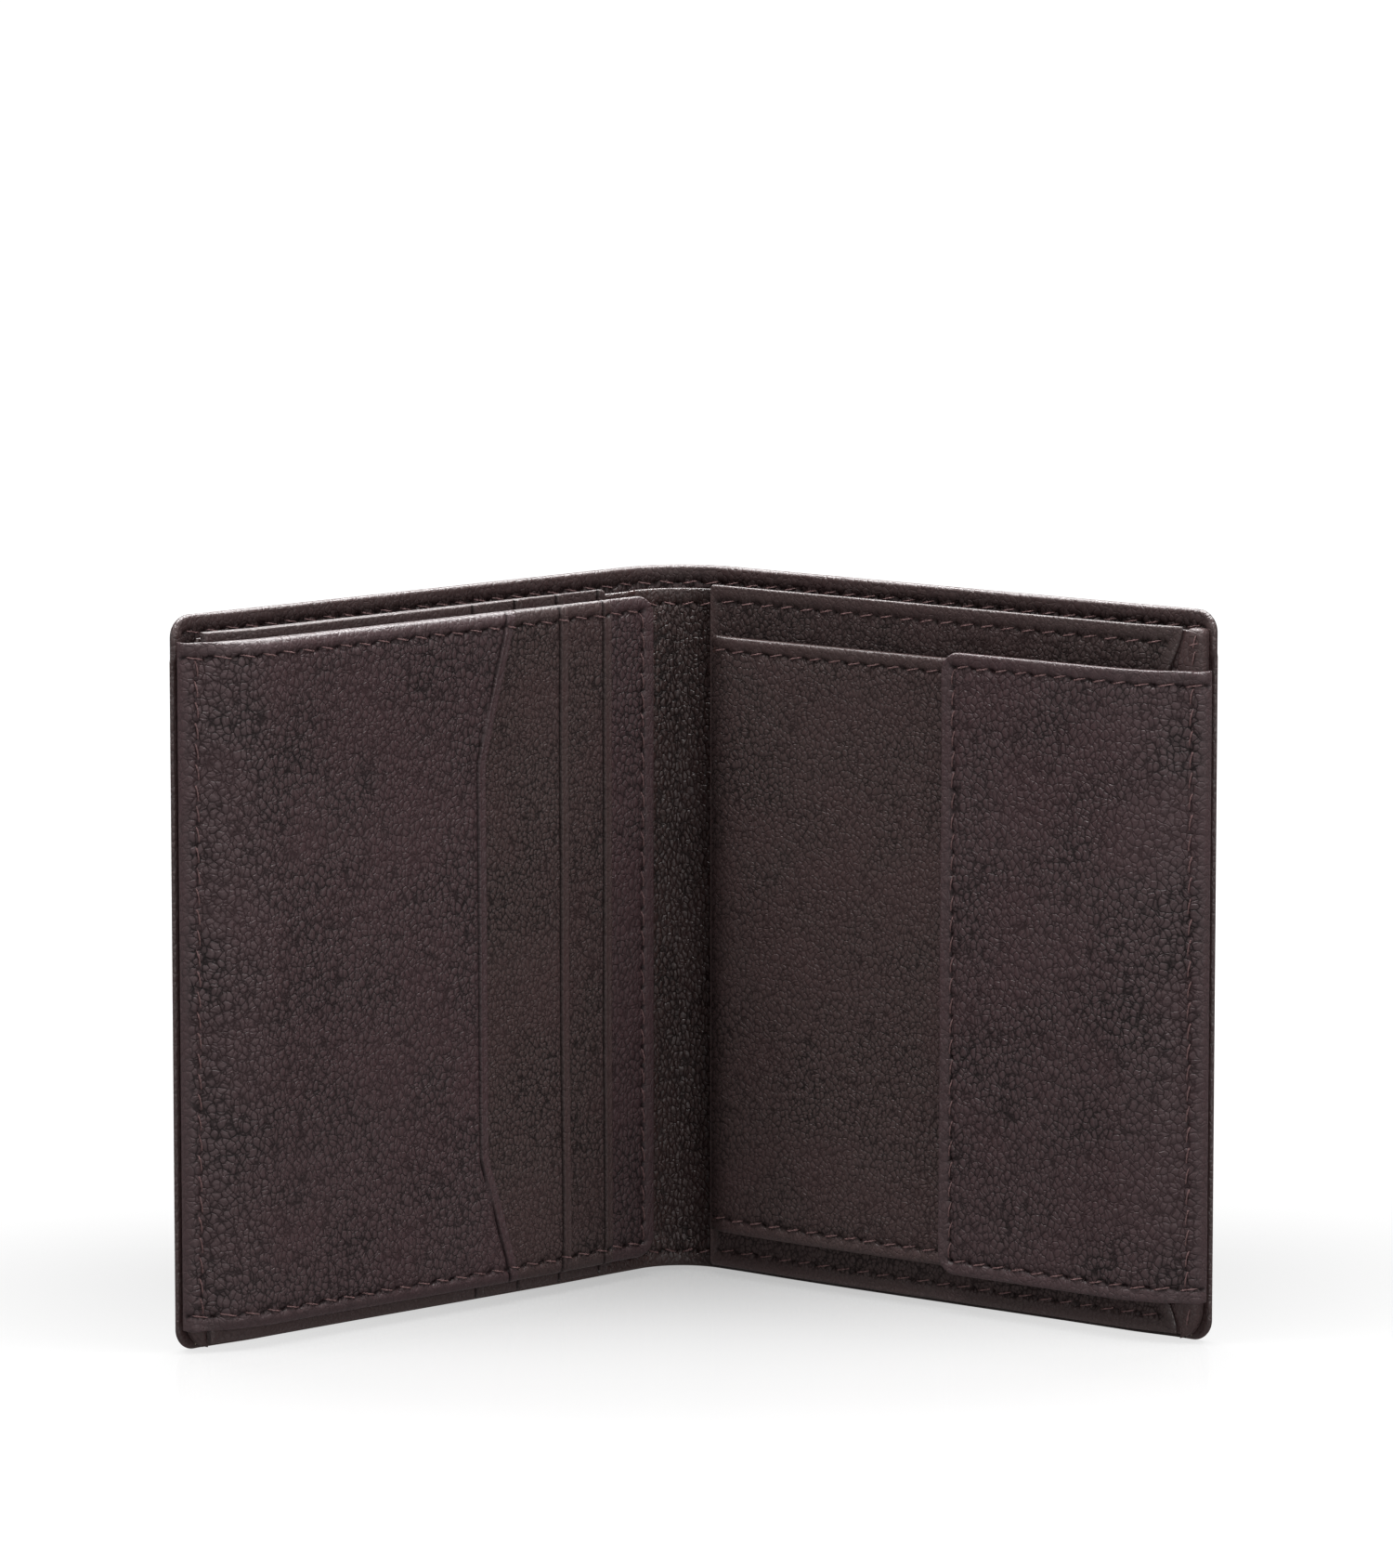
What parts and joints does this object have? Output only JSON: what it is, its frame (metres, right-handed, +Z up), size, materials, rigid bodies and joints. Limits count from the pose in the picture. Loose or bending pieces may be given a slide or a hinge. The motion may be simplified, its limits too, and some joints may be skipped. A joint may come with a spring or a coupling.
{
  "type": "bifold wallet",
  "caption": "Portrait leather bifold wallet with a note compartment, slanted card pockets on a hinged flap, a slip pocket and a flap-over coin pocket, standing half open.",
  "frame": {"origin": "centre of the wallet's footprint, on the surface that its lower edge stands on", "axes": "+X across the open width from the card page to the coin page, +Y from the open side to the spine, +Z up along the fold lines"},
  "size_m": [0.1408, 0.0591, 0.1],
  "materials": {
    "cover_leather": "dark brown pebbled cowhide, soft sheen",
    "pocket_leather": "dark brown grained cowhide, soft sheen",
    "liner_leather": "dark brown fine pebbled leather, matte",
    "lining_cloth": "near black twill lining",
    "board": "bonded fibre stiffener",
    "thread": "reddish brown sewing thread",
    "snap_metal": "antique brass press stud"
  },
  "bodies": {
    "spine": {"cover_spine": "cover_leather", "lining_spine": "lining_cloth", "liner_spine": "liner_leather", "hem_foot_spine": "cover_leather", "liner_seam_spine": "thread"},
    "left_page": {"cover_left": "cover_leather", "board_left": "board", "lining_left": "lining_cloth", "hem_top_left": "cover_leather", "hem_side_left": "cover_leather", "hem_foot_left": "cover_leather", "liner_left": "liner_leather", "rear_pocket_1": "pocket_leather", "rear_pocket_2": "pocket_leather", "rear_pocket_3": "pocket_leather", "rear_pocket_4": "pocket_leather", "flap_hinge_strip": "pocket_leather", "cover_seam_left": "thread", "liner_seam_left": "thread", "rim_seam_left": "thread"},
    "right_page": {"cover_right": "cover_leather", "board_right": "board", "lining_right": "lining_cloth", "hem_top_right": "cover_leather", "hem_side_right": "cover_leather", "hem_foot_right": "cover_leather", "liner_right": "liner_leather", "slip_panel": "pocket_leather", "slip_gusset": "liner_leather", "coin_back": "lining_cloth", "coin_gusset_top": "liner_leather", "coin_gusset_foot": "liner_leather", "coin_side": "pocket_leather", "coin_front": "pocket_leather", "snap_rivet": "snap_metal", "snap_stud": "snap_metal", "coin_hinge_strip": "pocket_leather", "cover_seam_right": "thread", "slip_seam": "thread", "rim_seam_right": "thread", "coin_seam": "thread"},
    "card_flap": {"flap_backing": "lining_cloth", "flap_base": "pocket_leather", "flap_pocket_3": "pocket_leather", "flap_pocket_2": "pocket_leather", "flap_pocket_1": "pocket_leather", "flap_seam": "thread"},
    "coin_flap": {"coin_flap_lining": "lining_cloth", "coin_flap_leather": "pocket_leather", "snap_socket": "snap_metal", "snap_cap": "snap_metal", "coin_flap_seam": "thread"}
  },
  "joints": [
    {"name": "left_fold", "type": "hinge", "parent": "spine", "child": "left_page", "pos_m": [-0.0072, 0.02614, 0], "axis": [0, 0, 1], "range_deg": [-40, 50], "deforming": ["cover_spine", "lining_spine", "liner_spine", "hem_foot_spine", "liner_seam_spine"]},
    {"name": "right_fold", "type": "hinge", "parent": "spine", "child": "right_page", "pos_m": [0.0072, 0.02614, 0], "axis": [0, 0, -1], "range_deg": [-40, 50], "deforming": ["cover_spine", "lining_spine", "liner_spine", "hem_foot_spine", "liner_seam_spine"]},
    {"name": "card_flap_hinge", "type": "hinge", "parent": "left_page", "child": "card_flap", "pos_m": [-0.06625, -0.02811, 0], "axis": [0, 0, -1], "range_deg": [0, 180]},
    {"name": "coin_flap_hinge", "type": "hinge", "parent": "right_page", "child": "coin_flap", "pos_m": [0.06612, -0.02826, 0], "axis": [0, 0, 1], "range_deg": [0, 180]}
  ],
  "couplings": [
    {"joint": "right_fold", "follows": "left_fold", "ratio": 1}
  ]
}
